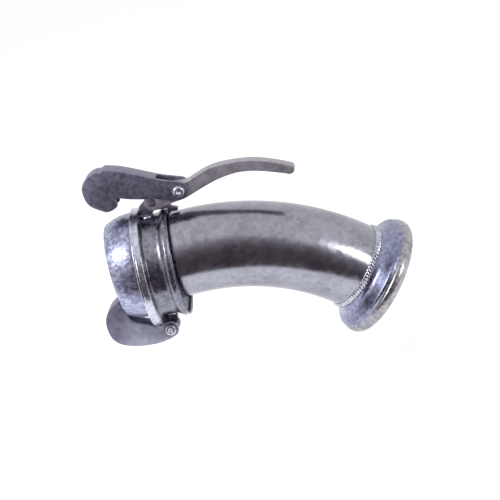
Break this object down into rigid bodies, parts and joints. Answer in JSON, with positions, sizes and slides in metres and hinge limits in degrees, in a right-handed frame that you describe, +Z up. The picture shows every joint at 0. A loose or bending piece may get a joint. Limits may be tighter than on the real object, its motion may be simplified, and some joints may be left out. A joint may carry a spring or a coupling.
{
  "type": "ball coupling elbow",
  "caption": "Galvanised 45 degree pipe elbow with a ball end, a socket end and a loose closure ring that carries an over-centre lever, a latch hook and a swinging lower hook.",
  "frame": {"origin": "centre of the ball end's sphere", "axes": "-X out of the ball end's mouth along the tube, +Z up through the closing lever, +Y to the far side of the lever plane"},
  "size_m": [0.4012, 0.1781, 0.2919],
  "materials": {
    "tube_zinc": "bright hot-dip zinc",
    "pressed_zinc": "spangled hot-dip zinc",
    "dark_zinc": "dull dark zinc",
    "weld": "zinc over a rippled weld",
    "pin_steel": "pale zinc",
    "seal_rubber": "matt"
  },
  "bodies": {
    "elbow": {"elbow_tube": "tube_zinc", "ball_end": "pressed_zinc", "ball_weld_bead": "weld", "socket_end": "pressed_zinc", "socket_weld_bead": "weld", "socket_seal": "seal_rubber"},
    "closure_ring": {"closure_ring": "pressed_zinc", "lever_saddle": "dark_zinc", "lever_lug": "dark_zinc", "hook_lug": "pressed_zinc", "saddle_weld_near": "weld", "saddle_weld_far": "weld", "hook_lug_weld_near": "weld", "hook_lug_weld_far": "weld", "lever_pivot_pin": "pin_steel", "lower_hook_pin": "pin_steel", "lower_washer_near": "pin_steel", "lower_washer_far": "pin_steel"},
    "lever": {"lever": "dark_zinc"},
    "link_pin": {"link_pin": "pin_steel", "link_washer_near": "pin_steel", "link_washer_far": "pin_steel"},
    "latch_hook": {"latch_hook": "dark_zinc"},
    "lower_hook": {"lower_hook": "pressed_zinc"}
  },
  "joints": [
    {"name": "ring_turn", "type": "hinge", "parent": "elbow", "child": "closure_ring", "pos_m": [0.025, 0, -0.0062], "axis": [0.9986, 0, -0.0523], "range_deg": [-60, 60]},
    {"name": "lever_swing", "type": "hinge", "parent": "closure_ring", "child": "lever", "pos_m": [0.037, 0, 0.075], "axis": [0, -1, 0], "range_deg": [0, 95]},
    {"name": "link_pin_turn", "type": "hinge", "parent": "lever", "child": "link_pin", "pos_m": [0.074, 0, 0.082], "axis": [0, -1, 0], "range_deg": [-95, 0]},
    {"name": "latch_hook_lift", "type": "hinge", "parent": "link_pin", "child": "latch_hook", "pos_m": [0.074, 0, 0.082], "axis": [0, 1, 0], "range_deg": [-5, 12]},
    {"name": "lower_hook_swing", "type": "hinge", "parent": "closure_ring", "child": "lower_hook", "pos_m": [0.013, 0, -0.0885], "axis": [0, -1, 0], "range_deg": [0, 60]}
  ],
  "couplings": [
    {"joint": "link_pin_turn", "follows": "lever_swing", "ratio": -1}
  ]
}
